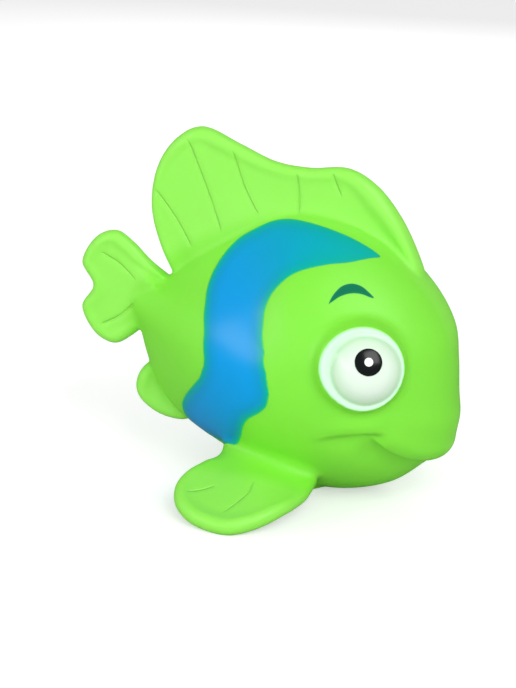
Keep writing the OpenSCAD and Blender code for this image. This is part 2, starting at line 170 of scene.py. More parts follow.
# %% Outline of the body
BODY_L, BODY_H, BODY_W = 89.5, 72.5, 53.0
WALL = 2.2
REAR = -38.5
MIDDLE = np.array([REAR + 0.565 * BODY_L, 0.49 * BODY_H])
BODY_OUTLINE = np.array([
    [1.0, 0.295], [0.993, 0.4], [0.985, 0.52], [0.968, 0.64], [0.908, 0.765], [0.81, 0.885], [0.685, 0.97],
    [0.555, 1.0], [0.43, 0.975], [0.315, 0.915], [0.21, 0.83], [0.12, 0.705], [0.03, 0.655], [0.0, 0.6],
    [0.035, 0.52], [0.06, 0.42], [0.09, 0.325], [0.155, 0.22], [0.265, 0.135], [0.4, 0.06], [0.53, 0.01],
    [0.64, -0.008], [0.74, 0.008], [0.83, 0.047], [0.905, 0.112], [0.972, 0.18],
])


def ramp(value, start, end):
    """Smooth step from 0 at start to 1 at end."""
    t = np.clip((value - start) / (end - start), 0, 1)
    return t * t * (3 - 2 * t)


def cubic(points, share, closed):
    """Point at each share of the way along a curve through all the points: each piece is the cubic that leaves a
    point along the line between its two neighbours."""
    points, share = np.asarray(points, float), np.asarray(share, float)
    n = len(points) if closed else len(points) - 1
    s = share * n if closed else np.minimum(share, 0.99999) * n
    i = np.floor(s).astype(int)
    t = (s - i)[..., None]
    pick = (lambda k: (i + k) % len(points)) if closed else (lambda k: np.clip(i + k, 0, n))
    p0, p1, p2, p3 = (points[pick(k)] for k in (-1, 0, 1, 2))
    return 0.5 * (2 * p1 + (p2 - p0) * t + (2 * p0 - 5 * p1 + 4 * p2 - p3) * t**2
                  + (3 * p1 - p0 - 3 * p2 + p3) * t**3)


def body_outline(share):
    """Outline point (x, z) at a share round the body."""
    return np.array([REAR, 0.0]) + cubic(BODY_OUTLINE, share, True) * [BODY_L, BODY_H]


CALM_STEPS, CALM_REACH, CALM_SPREAD, CALM_SIZE = 720, 160, 48.0, 1.018
steps = np.linspace(0, 1, CALM_STEPS + 1)[:-1]
offsets = np.arange(-CALM_REACH, CALM_REACH + 1)
weights = np.exp(-0.5 * (offsets / CALM_SPREAD) ** 2)
weights /= weights.sum()
traced = body_outline(steps)
calm_outline = sum(w * np.roll(traced, -k, axis=0) for k, w in zip(offsets, weights))
calm_outline = MIDDLE + (calm_outline - MIDDLE) * CALM_SIZE


def calm_body_outline(share):
    """The same outline with its bumps evened out by a weighted mean along it and then enlarged a little, because a
    mean shrinks a round shape. It is for the flanks."""
    s = np.asarray(share) % 1 * CALM_STEPS
    i = np.floor(s).astype(int)
    t = (s - i)[..., None]
    return calm_outline[i % CALM_STEPS] * (1 - t) + calm_outline[(i + 1) % CALM_STEPS] * t


print("outline from", body_outline(steps).min(0).round(1), "to", body_outline(steps).max(0).round(1), "mm")

# %% [markdown]
# ## The body's skin
# The flanks swell out of the outline. Latitude 0 is the outline in the middle plane and latitudes of plus and minus
# 90 degrees are the two points that stand out furthest. Towards a flank the outline shrinks to its middle by a
# power of the latitude's cosine, and the width grows with its sine. The tail end, the back and the belly are pinched
# narrower, which makes the fish a fish and not a ball. The rear flanks follow the evened outline, so that no bump of
# the outline runs across them as a ridge.

# %% Skin of the body
PINCHES = ((0.65, 163.0), (0.3, 95.0), (0.25, -75.0))
CALM_FROM, CALM_TO = REAR + 0.52 * BODY_L, REAR + 0.296 * BODY_L
CALM_POWER, SWELL_POWER = 6, 0.86


def skin_point(share, latitude, grow=0.0):
    """Point of the skin at a share round the outline and a latitude in degrees, moved outwards by grow."""
    share, latitude = np.broadcast_arrays(np.asarray(share, float), np.asarray(latitude, float))
    c, s = np.cos(np.radians(latitude)), np.sin(np.radians(latitude))
    own = body_outline(share)
    calm = (ramp(own[..., 0], CALM_FROM, CALM_TO) * (1 - c**CALM_POWER))[..., None]
    arm = own * (1 - calm) + calm_body_outline(share) * calm - MIDDLE
    size = np.linalg.norm(arm, axis=-1)
    reach = (size + grow) / size * np.maximum(c, 0) ** SWELL_POWER
    heading = np.degrees(np.arctan2(arm[..., 1], arm[..., 0]))
    pinch = sum(a * np.maximum(0, np.cos(np.radians(heading - d))) ** 2 for a, d in PINCHES)
    y = -(BODY_W / 2 + grow) * (1 - pinch * c**2) * s
    return np.stack([MIDDLE[0] + arm[..., 0] * reach, y, MIDDLE[1] + arm[..., 1] * reach], -1)


def skin_piece(name, grow, columns, rings):
    """Closed skin: rings of constant latitude between the two poles on the flanks."""
    latitude = np.linspace(-90, 90, rings + 1)[1:-1]
    share = np.arange(columns) / columns
    points = skin_point(share[None, :], latitude[:, None], grow).reshape(-1, 3)
    poles = skin_point([0.0, 0.0], [-90.0, 90.0], grow)
    quads = grid_quads(len(latitude), columns, close_columns=True)[:, ::-1]
    first, last = np.arange(columns), np.arange(columns) + (len(latitude) - 1) * columns
    low = len(points)
    return put_mesh(name, np.vstack([points, poles]), quads, fan(first, low), fan(last, low + 1, True))


body_form = skin_piece("body_form", 0.0, 300, 110)
print("body form:", len(body_form.data.polygons), "faces")

# %% [markdown]
# ## The fins
# A fin of a moulded toy is a flat panel inside a rounded rim. Each fin here is a loft: its outer edge is a curve, and
# in every column a profile runs from that edge straight in across the rim, down to the panel, and on to a root that
# is buried in the body. The rim's radius may change along the edge, because the real dorsal fin has a broad rim in
# front and a fine one behind.

# %% Fin lofts
RIM_R = 2.3
RIM_END = 2.6
ROOT_SWELL, ROOT_POWER, ROOT_STATIONS = 1.7, 3.0, 12
rim_turn = np.radians(np.array([0, 15, 30, 45, 60, 75, 90]))
RIM_IN = np.concatenate([1 - np.cos(rim_turn), [1.25, 1.5, 1.75, 2.0, 2.3]])
RIM_THICK = np.concatenate([np.sin(rim_turn), [0.975, 0.9, 0.79, 0.67, 0.55]])


def fin_points(edge, root, radius, panel, root_swell=ROOT_SWELL):
    """Grid of loops round a fin. A column runs square in from its edge point by the rim's stations, sinks from the
    rim's thickness to the panel's, and goes on in even steps to the buried root, where it is thicker again."""
    radius, panel = (np.broadcast_to(value, len(edge)) for value in (radius, panel))
    way = np.gradient(edge, axis=0)
    way /= np.linalg.norm(way, axis=1)[:, None]
    inward = np.stack([way[:, 1], -way[:, 0]], -1)
    room = np.minimum(1, np.linalg.norm(root - edge, axis=1) / (2 * RIM_END * radius))
    depth = (radius * room)[:, None]
    rim = edge[:, None] + inward[:, None] * (RIM_IN[None, :] * depth)[..., None]
    thick = np.maximum(RIM_THICK[None, :] * radius[:, None], np.where(RIM_IN > 1, panel[:, None], 0))
    foot = edge + inward * RIM_END * depth
    t = np.linspace(0, 1, ROOT_STATIONS)[None, :]
    inner = foot[:, None] + (root - foot)[:, None] * t[..., None]
    swell = panel[:, None] + (root_swell * RIM_R - panel[:, None]) * t**ROOT_POWER
    side = np.concatenate([rim, inner], 1)
    half = np.concatenate([thick, swell], 1)
    near = np.stack([side[..., 0], half, side[..., 1]], -1)
    far = np.stack([side[..., 0], -half, side[..., 1]], -1)[:, :0:-1]
    return np.concatenate([near, far], 1)


def fin_piece(name, loops):
    """Closed mesh through a row of loops, with a flat cap on each end."""
    rows, around = loops.shape[:2]
    caps = [np.arange(around)[::-1].tolist()], [(np.arange(around) + (rows - 1) * around).tolist()]
    return put_mesh(name, loops.reshape(-1, 3), grid_quads(rows, around, close_columns=True), *caps)


def fin_edge(points, share, x, z, size):
    """Outer edge of a fin, with points in shares of the fin's size and a start in shares of the body's."""
    return np.array([REAR + x * BODY_L, z * BODY_H]) + cubic(points, share, False) * size


def along(share, *stations):
    """A value along a fin's edge, even between the given pairs of a share of the way and the value there."""
    return np.interp(share, *zip(*stations))


# %% Dorsal fin
DORSAL_L, DORSAL_H, DORSAL_ROOT = 74.0, 42.0, 0.86
DORSAL_EDGE = np.array([
    [0.1, 0.02], [0.038, 0.224], [0.0, 0.474], [0.018, 0.724], [0.085, 0.914], [0.182, 1.0], [0.315, 0.914],
    [0.436, 0.831], [0.558, 0.81], [0.693, 0.829], [0.801, 0.731], [0.889, 0.545], [0.954, 0.326], [0.99, 0.152],
])
share = np.linspace(0, 1, 180)
edge = fin_edge(DORSAL_EDGE, share, 0.069, 0.684, [DORSAL_L, DORSAL_H])
root = MIDDLE + (body_outline(0.425 - 0.25 * share) - MIDDLE) * DORSAL_ROOT
radius = along(
    share, (0, 1.6), (0.2, 1.7), (0.32, 2.2), (0.42, 2.3), (0.55, 2.0), (0.66, 2.0), (0.74, 2.6), (0.84, 3.4), (1, 3.6),
)
panel = along(share, (0, 1.5), (0.2, 1.58), (0.35, 1.9), (0.5, 1.75), (0.65, 1.7), (0.8, 1.9), (1, 2.0))
dorsal_form = fin_piece("dorsal_form", fin_points(edge, root, radius, panel))
print("dorsal fin from", edge.min(0).round(1), "to", edge.max(0).round(1))

# %% Tail fin
TAIL_L, TAIL_H = 24.8, 31.0
TAIL_EDGE = np.array([
    [-0.03, -0.13], [0.2, -0.26], [0.4, -0.41], [0.6, -0.5], [0.825, -0.42], [0.97, -0.2], [0.845, 0.0],
    [0.97, 0.2], [0.825, 0.42], [0.6, 0.5], [0.4, 0.41], [0.2, 0.26], [-0.03, 0.13],
])
TAIL_X, TAIL_Z = 0.126, 0.642
edge = fin_edge(TAIL_EDGE, np.linspace(0, 1, 180), TAIL_X, TAIL_Z, [-TAIL_L, TAIL_H])
middle = np.array([REAR + TAIL_X * BODY_L, TAIL_Z * BODY_H])
root = middle + (edge - middle) * [0, 0.15] - [0.07 * TAIL_L, 0]
tail_form = fin_piece("tail_form", fin_points(edge, root, 2.1, 1.75))

# %% Anal fin
ANAL_L, ANAL_H, ANAL_ROOT = 18.0, 16.0, 0.25
ANAL_EDGE = np.array([
    [1.0, 0.12], [0.75, 0.0], [0.47, 0.02], [0.25, 0.12], [0.06, 0.3], [0.0, 0.53], [0.08, 0.8], [0.3, 1.05],
])
edge = fin_edge(ANAL_EDGE, np.linspace(0, 1, 70), 0.029, 0.165, [ANAL_L, ANAL_H])
anal_form = fin_piece("anal_form", fin_points(edge, edge + (MIDDLE - edge) * ANAL_ROOT, RIM_R, 1.7))

# %% Pectoral fins
FLIPPER_SIZE, FLIPPER_SWELL = [34.0, 31.5], 0.95
FLIPPER_EDGE = np.array([
    [0.2, 0.0], [0.21, 0.1], [0.145, 0.23], [0.035, 0.4], [0.0, 0.58], [0.055, 0.77], [0.2, 0.92], [0.4, 0.99],
    [0.56, 0.975], [0.74, 0.84], [0.88, 0.64], [0.94, 0.42], [0.965, 0.27], [0.98, 0.1],
])
FLIPPER_SLOPE = math.radians(19)
FRONT_DROP = 3.2
FLIPPER_ROOT = np.array([REAR + 0.265 * BODY_L, -6.0])
FLIPPER_Y, FLIPPER_Z = 19.0, 9.5
share = np.linspace(0, 1, 150)
edge = FLIPPER_ROOT + cubic(FLIPPER_EDGE, share, False) * FLIPPER_SIZE
root = FLIPPER_ROOT + ([0.32, -0.06] + share[:, None] * [0.6, 0.08]) * FLIPPER_SIZE
radius = along(share, (0, 2.1), (0.3, 2.3), (0.65, 2.3), (0.8, 2.0), (1, 2.0))
panel = along(share, (0, 2.0), (0.25, 1.85), (0.35, 1.75), (0.6, 1.75), (0.75, 1.9), (1, 1.95))
loops = fin_points(edge, root, radius, panel, FLIPPER_SWELL)
turn = math.pi / 2 + FLIPPER_SLOPE
flipper = np.stack([
    loops[..., 0],
    loops[..., 1] * math.cos(turn) - loops[..., 2] * math.sin(turn) - FLIPPER_Y,
    loops[..., 1] * math.sin(turn) + loops[..., 2] * math.cos(turn) + FLIPPER_Z,
], -1)
flipper[..., 2] -= FRONT_DROP * ramp(loops[..., 0], 4.0, 19.0) * (1 - ramp(loops[..., 2], 3.0, 17.0))
flipper_forms = [
    fin_piece("flipper_form_right", flipper),
    fin_piece("flipper_form_left", flipper[:, ::-1] * [1, -1, 1]),
]
print("right pectoral fin from", flipper.min((0, 1)).round(1), "to", flipper.max((0, 1)).round(1))

# %% [markdown]
# ## The eye domes and the belly ring
# Both are turned shapes: a half outline swept round an axis. The eye is a shallow dome inside a rounded lip, on a
# skirt that flows into the cheek. The belly ring is the thickened flat ring that holds the whistle.

# %% Turned shapes
EYE_R, LIP_R, BEAD_R = 10.2, 9.9, 1.2
EYE_AT = np.array([REAR + 0.762 * BODY_L, -0.45 * BODY_W, 0.565 * BODY_H])
EYE_YAW, EYE_PITCH = math.radians(20), math.radians(8)
GAZE_YAW, GAZE_PITCH = math.radians(20), math.radians(25)
DOME_SHIFT = np.array([1.1, -0.35])
DOME_DEPTH = math.sqrt(EYE_R**2 - (LIP_R - 0.6 * BEAD_R) ** 2)


def swept(outline, around):
    """Rings of points: every outline point (distance from the axis, height) at all the angles."""
    r, height = outline[:, :1], outline[:, 1:]
    return np.stack([r * np.cos(around), r * np.sin(around), height + 0 * around], -1)


def turned(name, outline, count=96, place=lambda p: p, closed=False):
    """Outline points (distance from the axis, height) swept round +Z and put in place. The first and last points
    lie on the axis and are poles, unless the outline is a closed ring."""
    outline = np.asarray(outline, float)
    around = np.arange(count) / count * 2 * np.pi
    body = outline if closed else outline[1:-1]
    ring = swept(body, around)
    quads = grid_quads(len(body), count, close_rows=closed, close_columns=True)
    if closed:
        return put_mesh(name, place(ring.reshape(-1, 3)), quads)
    points = np.vstack([ring.reshape(-1, 3), [[0, 0, outline[0, 1]], [0, 0, outline[-1, 1]]]])
    low = len(points) - 2
    first, last = np.arange(count), np.arange(count) + (len(body) - 1) * count
    return put_mesh(name, place(points), quads, fan(first, low, True), fan(last, low + 1))


def eye_rows(yaw, pitch):
    """Across, upward and outward directions of something that looks out of the right eye."""
    axis = np.array([math.sin(yaw) * math.cos(pitch), -math.cos(yaw) * math.cos(pitch), math.sin(pitch)])
    across = np.array([math.cos(yaw), math.sin(yaw), 0.0])
    return np.stack([across, np.cross(axis, across), axis])


def out_of_eye(side, whole=True):
    """Function that turns shapes round +Z to look out of an eye: side is -1 for the right eye and 1 for the left. The
    whole eye gets its dome moved off the lip's middle and its lip drawn in at the lower back. A spot of paint looks
    along the gaze and is moved with the dome."""
    own = eye_rows(EYE_YAW, EYE_PITCH)
    rows = own if whole else eye_rows(GAZE_YAW, GAZE_PITCH)
    centre = EYE_AT - own[2] * DOME_DEPTH

    def place(points):
        flat, depth = np.asarray(points, float)[:, :2], np.asarray(points, float)[:, 2:]
        if whole:
            r = np.hypot(flat[:, 0], flat[:, 1])
            turn = np.degrees(np.arctan2(flat[:, 1], flat[:, 0])) + 132
            drawn = 1 - 0.055 * np.exp(-(((turn + 180) % 360 - 180) / 36) ** 2) * ramp(r, 7.5, 10.0)
            flat = flat * drawn[:, None] + DOME_SHIFT * (1 - ramp(r, 8.2, 11.2))[:, None]
        at = centre if whole else centre + DOME_SHIFT @ own[:2]
        return (np.hstack([flat, depth]) @ rows + at) * [1, -side, 1]
    return place


def arc(centre, r, start, end, count):
    """Points on a circle's arc between two angles in degrees."""
    a = np.radians(np.linspace(start, end, count))
    return np.asarray(centre) + r * np.stack([np.cos(a), np.sin(a)], -1)


def eye_outline(grow, count=24, end=50.0):
    """Half outline of the dome and its lip, moved outwards by grow: two arcs that meet in a valley."""
    dome, bead = EYE_R + grow, BEAD_R + grow
    far = math.hypot(LIP_R, DOME_DEPTH)
    way = np.array([LIP_R, DOME_DEPTH]) / far
    reach = (dome**2 - bead**2 + far**2) / (2 * far)
    valley = way * reach + np.array([-way[1], way[0]]) * math.sqrt(dome**2 - reach**2)
    dome_end = math.degrees(math.atan2(valley[1], valley[0]))
    bead_start = math.degrees(math.atan2(valley[1] - DOME_DEPTH, valley[0] - LIP_R))
    return np.vstack([
        arc((0, 0), dome, 90, dome_end, count),
        arc((LIP_R, DOME_DEPTH), bead, bead_start, end, count // 2)[1:],
    ])


SIDES = (("right", -1), ("left", 1))
SKIRT_R = LIP_R + 2 * BEAD_R
skirt_outline = [[LIP_R + 1.5 * BEAD_R, 0.8 * DOME_DEPTH], [SKIRT_R, 0.5 * DOME_DEPTH], [SKIRT_R, 0.0], [0.0, 0.0]]
boss_outline = np.vstack([eye_outline(0.0, end=0.0), skirt_outline])
boss_forms = [turned(f"boss_form_{word}", boss_outline, place=out_of_eye(side)) for word, side in SIDES]

HOLE_X = REAR + 0.54 * BODY_L
ring_outline = [[0, 0], [8.95, 0], [9.35, 0.2], [9.55, 0.6], [10.55, 5.9], [0, 5.9]]
ring_form = turned("ring_form", ring_outline, place=lambda p: p + [HOLE_X, 0, 0])
print("eye domes at", EYE_AT.round(1), "and the belly ring at x", round(HOLE_X, 2))

# %% [markdown]
# ## One moulding
# Vinyl is moulded in one piece, so the shapes have no edges between them: each flows into the next with a small
# fillet. They are joined and covered again with one even net of faces by the voxel Remesh modifier. Steps of
# smoothing then fill the corners where a fin leaves the body. A step that would only eat into a rounded rim is left
# out, so the rims keep their size. Over the root of a pectoral fin ridge and hollow are rounded alike.

# %% Join and remesh
forms = [body_form, dorsal_form, tail_form, anal_form, *flipper_forms, *boss_forms, ring_form]


def joined(pieces, name):
    """One object with the meshes of several, which are then removed."""
    together = bmesh.new()
    for piece in pieces:
        together.from_mesh(piece.data)
        bpy.data.objects.remove(piece)
    out = put_mesh(name, np.zeros((0, 3)))
    together.to_mesh(out.data)
    together.free()
    return out


rough = joined(forms, "moulding_rough")
VOXEL = 0.5
wrap = rough.modifiers.new("one skin", "REMESH")
wrap.mode = "VOXEL"
wrap.voxel_size = VOXEL * MM
moulding = settled(rough, "moulding")
bpy.data.objects.remove(rough)
print("remeshed skin:", len(moulding.data.vertices), "vertices,", len(moulding.data.polygons), "faces")

# %% Smoothing helpers
points = mesh_points(moulding.data)
ends = np.empty(len(moulding.data.edges) * 2, np.int32)
moulding.data.edges.foreach_get("vertices", ends)
ends = ends.reshape(-1, 2)
valence = np.bincount(ends.ravel(), minlength=len(points))[:, None]


def neighbour_mean(values):
    """Mean of the neighbours' values at every vertex, added up along the edges."""
    total = np.stack([
        np.bincount(ends[:, 0], values[ends[:, 1], k], len(values))
        + np.bincount(ends[:, 1], values[ends[:, 0], k], len(values)) for k in range(values.shape[1])
    ], -1)
    return total / valence


def even(values, rounds, pull=0.5, push=-0.53):
    """Smoothing that keeps the size: a step towards the neighbours' mean, then a slightly larger one back."""
    for _ in range(rounds):
        for step in (pull, push):
            values = values + step * (neighbour_mean(values) - values)
    return values


def outward(values):
    """Unit normals of the moulding with its vertices moved to the given points."""
    moulding.data.vertices.foreach_set("co", (values * MM).astype(np.float32).ravel())
    moulding.data.update()
    flat = np.empty(len(values) * 3, np.float32)
    moulding.data.vertex_normals.foreach_get("vector", flat)
    return flat.reshape(-1, 3).astype(float)


# %% Distances to curves
def curve_through(stations, count=48):
    """Even points on the smooth curve through a few stations."""
    return cubic(stations, np.linspace(0, 1, count), False)


def nearest_on(curve, values):
    """Distance of every value to a curve of points, and the share of the way along it where the nearest point is."""
    best = np.full(len(values), 1e9)
    share = np.zeros(len(values))
    start, step = curve[:-1], np.diff(curve, axis=0)
    for k in range(len(step)):
        t = np.clip((values - start[k]) @ step[k] / max(step[k] @ step[k], 1e-12), 0, 1)
        away = np.linalg.norm(values - start[k] - t[:, None] * step[k], axis=1)
        closer = away < best
        best, share = np.where(closer, away, best), np.where(closer, (k + t) / len(step), share)
    return best, share


def bell(distance, width):
    """One at distance 0 and nearly nothing at twice the width."""
    return np.exp(-(distance / width) ** 2)


# %% Fillets
COARSE, GENTLE = 0.008, 0.004


def fill(values, rounds, weight, least=COARSE):
    """Steps towards the neighbours' mean that are taken only where they fill a corner by more than the least."""
    for k in range(rounds):
        if k % 6 == 0:
            facing = outward(values)
        step = neighbour_mean(values) - values
        rise = np.sum(step * facing, 1)
        strength = np.clip((rise - least) / (5 * least), 0, 1) * weight
        values = values + (0.8 * strength)[:, None] * step
    return values


def relax(values, rounds, weight):
    """Steps towards the neighbours' mean that round hollows and ridges alike, as far as the weight allows."""
    for _ in range(rounds):
        values = values + (0.6 * weight)[:, None] * (neighbour_mean(values) - values)
    return values


def folded(values):
    """The points with the fish's two sides folded together onto +Y."""
    return np.stack([values[:, 0], np.abs(values[:, 1]), values[:, 2]], -1)


def near(values, place, reach):
    """One at a place and nothing past its reach, on both sides of the fish."""
    return 1 - ramp(np.linalg.norm(folded(values) - place, axis=1), 0.4 * reach, reach)


# The valley round the eye's dome keeps its corner, and the skirt outside the lip is filled the most.
points = even(points, 6)
right_side = points * np.where(points[:, 1:2] > 0, [1, -1, 1], 1) - EYE_AT
from_axis = np.hypot(*(right_side @ eye_rows(EYE_YAW, EYE_PITCH)[:2].T).T)
eye_zone = (1 - ramp(from_axis, 11.6, 13.5)) * (1 - ramp(np.linalg.norm(right_side, axis=1), 13, 16))
points = fill(points, 14, 1 - 0.75 * eye_zone)
skirt_zone = ramp(from_axis, 11.4, 13.0) * (1 - ramp(np.linalg.norm(right_side, axis=1), 16, 22))
points = fill(points, 110, skirt_zone, GENTLE)

# The tail flows into the body, but the notch between it and the dorsal fin stays open.
tail_zone = near(points, [-34, 0, 43], 15) * (1 - near(points, [-28, 0, 54], 6.5))
fin_zone = ramp(np.abs(points[:, 1]), 12, 16) * (1 - ramp(points[:, 2], 15, 22)) * (1 - ramp(points[:, 0], 18, 28))
points = fill(points, 120, tail_zone)
points = fill(points, 120, fin_zone, GENTLE)

# The curve follows the line where the pectoral fin's upper side meets the body.
FLIPPER_JOIN = [(-8.0, 17.0, 13.0), (1.2, 19.0, 13.0), (6.6, 19.0, 11.7), (13.6, 18.6, 10.6)]
from_join, _ = nearest_on(curve_through(FLIPPER_JOIN), folded(points))
points = relax(points, 110, 1 - ramp(from_join, 2.0, 5.5))
points = even(points, 4)
print("filleted skin from", points.min(0).round(1), "to", points.max(0).round(1))

# %% [markdown]
# ## Carving the face and the fins
# The mouth, the crease under the cheek, the gill line and the rays of the fins are shallow forms in the moulding.
# Each is a curve in space. A vertex moves along its normal by an amount that depends only on its distance from that
# curve, so the forms are as smooth as the net of faces allows, and no texture image is needed.

# %% Rays of the fins
FIN_RAYS = [
    [(-31.0, 74.5), (-25.2, 67.2), (-20.8, 60.2)],
    [(-22.7, 88.8), (-17.7, 77.4), (-14.8, 70.4), (-12.8, 65.3)],
    [(-10.6, 86.6), (-7.7, 78.4), (-4.9, 73.2), (-3.2, 70.8)],
    [(6.2, 82.1), (7.0, 76.8), (7.2, 71.9)],
    [(15.5, 83.0), (16.6, 80.1), (17.8, 77.6)],
    [(-45.6, 56.1), (-40.6, 53.7), (-35.9, 49.6)],
    [(-45.2, 36.5), (-40.4, 39.2), (-36.0, 43.6)],
]
FLIPPER_RAYS = [
    [(-10.7, 14.7), (-7.5, 13.2), (-4.7, 11.1)],
    [(4.4, 7.3), (4.3, 11.6), (2.4, 16.1), (0.1, 20.3)],
]


def along_flipper(values):
    """Distance out along a pectoral fin's slope from its root, and distance above its middle."""
    out, rise = np.abs(values[:, 1]) - FLIPPER_Y, values[:, 2] - FLIPPER_Z
    c, s = math.cos(FLIPPER_SLOPE), math.sin(FLIPPER_SLOPE)
    return out * c - rise * s, out * s + rise * c


def ray_depth(flat, rays, depth, width=0.6):
    """Depth of the grooves at flat fin coordinates, shallower at both ends of each ray."""
    total = np.zeros(len(flat))
    for ray in rays:
        away, share = nearest_on(curve_through(ray), flat)
        ends_fade = ramp(share, -0.02, 0.12) * (1 - ramp(share, 0.85, 1.02))
        total = np.maximum(total, depth * bell(away, width) * (0.25 + 0.75 * ends_fade))
    return total


normals, wide = outward(points), np.abs(points[:, 1])
on_middle_fins = ramp(np.abs(normals[:, 1]), 0.35, 0.7) * (1 - ramp(wide, 5.0, 6.5))
carve = -on_middle_fins * ray_depth(points[:, [0, 2]], FIN_RAYS, 0.22)

reach, above = along_flipper(points)
on_flippers = ramp(reach, 4.0, 6.0) * (1 - ramp(np.abs(above), 3.5, 5.0)) * ramp(wide, FLIPPER_Y, FLIPPER_Y + 3.0)
carve -= on_flippers * ray_depth(np.stack([points[:, 0], reach], -1), FLIPPER_RAYS, 0.14)

# %% Mouth, cheek and gill
def fold(above, out, out_at, into, width, soft=0.4):
    """Height of a fold's profile at a distance above its line: a lip swells over it, a recess lies under it."""
    lip = out * bell(above - out_at, out_at)
    recess = -into * np.exp(np.minimum(above, 0) / width)
    over = ramp(above, -soft, soft)
    return lip * over + recess * (1 - over)


def mouth_height(wide):
    """Height of the mouth's line at a distance from the middle plane: low in front, it rises to the corners."""
    return 12.3 + 9.2 * (wide / 21.5) ** 3.1


in_mouth = ramp(points[:, 0], 26.0, 33.0) * (1 - ramp(wide, 18.5, 22.5))
over_mouth = points[:, 2] - mouth_height(wide)
carve += in_mouth * fold(over_mouth, 0.6, 2.5, 2.1, 3.2)
carve -= 1.3 * in_mouth * (1 - ramp(wide, 5, 12)) * bell(over_mouth + 0.6, 0.7)

CREASE = np.array([
    [17.0, 23.5, 19.3], [22.4, 23.6, 21.2], [25.3, 23.3, 21.9], [29.4, 22.8, 22.6], [32.6, 22.0, 22.9],
    [37.0, 20.2, 23.0],
])
away, share = nearest_on(curve_through(CREASE), folded(points))
above = np.where(points[:, 2] > np.interp(points[:, 0], CREASE[:, 0], CREASE[:, 2]), away, -away)
fade = ramp(share, 0.0, 0.4) * (1 - ramp(share, 0.78, 1.0))
carve += fade * fold(above, 0.7, 2.8, 1.9, 3.2, 1.3)

GILL = [(-21.8, 15.7, 45.2), (-21.1, 16.8, 41.8), (-24.2, 12.8, 34.5), (-25.9, 10.7, 32.0)]
away, share = nearest_on(curve_through(GILL), folded(points))
carve -= 0.3 * bell(away, 0.6) * ramp(share, 0.0, 0.25) * (1 - ramp(share, 0.75, 1.0))
points = even(points + carve[:, None] * normals, 1)
print("carved between", carve.min().round(2), "and", carve.max().round(2), "mm")

# %% Flat underside
points[:, 2] = np.maximum(points[:, 2], 0.0)
outward(points)
print("resting on", int((points[:, 2] < 0.001).sum()), "vertices of the flat underside")

# %% [markdown]
# ## The hollow and the whistle's hole
# Rotocast vinyl is a shell about 2 mm thick. The hollow follows the skin 2.2 mm inside it, and a little further in
# behind the mouth, where the folds need the room. A stepped bore leaves the recess for the whistle's flange, the
# hole that grips its neck and the well that frees its barb. Both are cut out with Boolean modifiers, as the solid
# has them.

# %% Hollow shell
hollow = skin_piece("hollow_form", -WALL, 150, 50)
inner = mesh_points(hollow.data)
at_mouth = ramp(inner[:, 0], 18, 30) * ramp(inner[:, 2], 2, 8) * (1 - ramp(inner[:, 2], 22, 28))
inner += at_mouth[:, None] * 2.2 * (np.array([MIDDLE[0], 0, 20]) - inner) / 30
inner[:, 2] = np.maximum(inner[:, 2], 3.7)
hollow.data.vertices.foreach_set("co", (inner * MM).astype(np.float32).ravel())
bore_outline = [[0, -1], [7.55, -1], [7.55, 1.3], [5.5, 1.3], [5.5, 3.7], [6.75, 3.7], [6.75, 5.7], [0, 5.7]]
bore = turned("bore_form", bore_outline, place=lambda p: p + [HOLE_X, 0, 0])


def enclosed(mesh):
    """Signed volume in cubic millimetres: the sum of the tetrahedra from the origin to every triangle."""
    mesh.calc_loop_triangles()
    corners = np.empty(len(mesh.loop_triangles) * 3, np.int32)
    mesh.loop_triangles.foreach_get("vertices", corners)
    a, b, c = mesh_points(mesh)[corners].reshape(-1, 3, 3).transpose(1, 0, 2)
    return float(np.sum(a * np.cross(b, c)) / 6)


def face_outwards(piece):
    """Turns the faces of a closed piece round if it encloses a negative volume."""
    if enclosed(piece.data) < 0:
        piece.data.flip_normals()
    return enclosed(piece.data)


for cutter in (hollow, bore):
    print(cutter.name, round(face_outwards(cutter)), "mm3")
print("moulding before the hollow:", round(face_outwards(moulding)), "mm3")
for cutter in (hollow, bore):
    cut = moulding.modifiers.new(cutter.name, "BOOLEAN")
    cut.operation, cut.object, cut.solver = "DIFFERENCE", cutter, "MANIFOLD"
vinyl = settled(moulding, "vinyl_body")
for used in (moulding, hollow, bore):
    bpy.data.objects.remove(used)
smooth_shaded(vinyl)
vinyl.data.set_sharp_from_angle(angle=math.radians(50))
print("vinyl body:", round(enclosed(vinyl.data)), "mm3 of vinyl in", len(vinyl.data.polygons), "faces")

# %% [markdown]
# ## What the material needs to know
# The vinyl's look changes with its form: fins are thinner and let more light through, and the rays need a line finer
# than the net of faces. Both are kept as attributes on the vertices. For the rays the signed distance is kept, which
# changes its sign across the ray, because a straight change of value stays sharp between two vertices. A mask keeps
# the line to the ray itself, because the sign also changes half-way between two rays.

# %% Attributes of the vinyl
points = mesh_points(vinyl.data)
wide = np.abs(points[:, 1])


def keep(piece, name, values):
    """Float attribute of that name on the piece's vertices."""
    layer = piece.data.attributes.get(name) or piece.data.attributes.new(name, "FLOAT", "POINT")
    layer.data.foreach_set("value", np.asarray(values, np.float32))


past_outline = np.hypot(points[:, 0] - MIDDLE[0], points[:, 2] - MIDDLE[1])
heading = np.arctan2(points[:, 2] - MIDDLE[1], points[:, 0] - MIDDLE[0])
arms = calm_outline - MIDDLE
order = np.argsort(np.arctan2(arms[:, 1], arms[:, 0]))
arm_headings, arm_lengths = np.arctan2(arms[:, 1], arms[:, 0])[order], np.linalg.norm(arms, axis=1)[order]
limit = np.interp(heading, arm_headings, arm_lengths, period=2 * np.pi)
middle_fin = ramp(past_outline - limit, 0.5, 6.0) * (1 - ramp(wide, 5, 7))
reach, _ = along_flipper(points)
side_fin = ramp(reach, 3.0, 9.0) * (1 - ramp(points[:, 2], 11.0, 15.0))
keep(vinyl, "fin", np.maximum(middle_fin, side_fin))


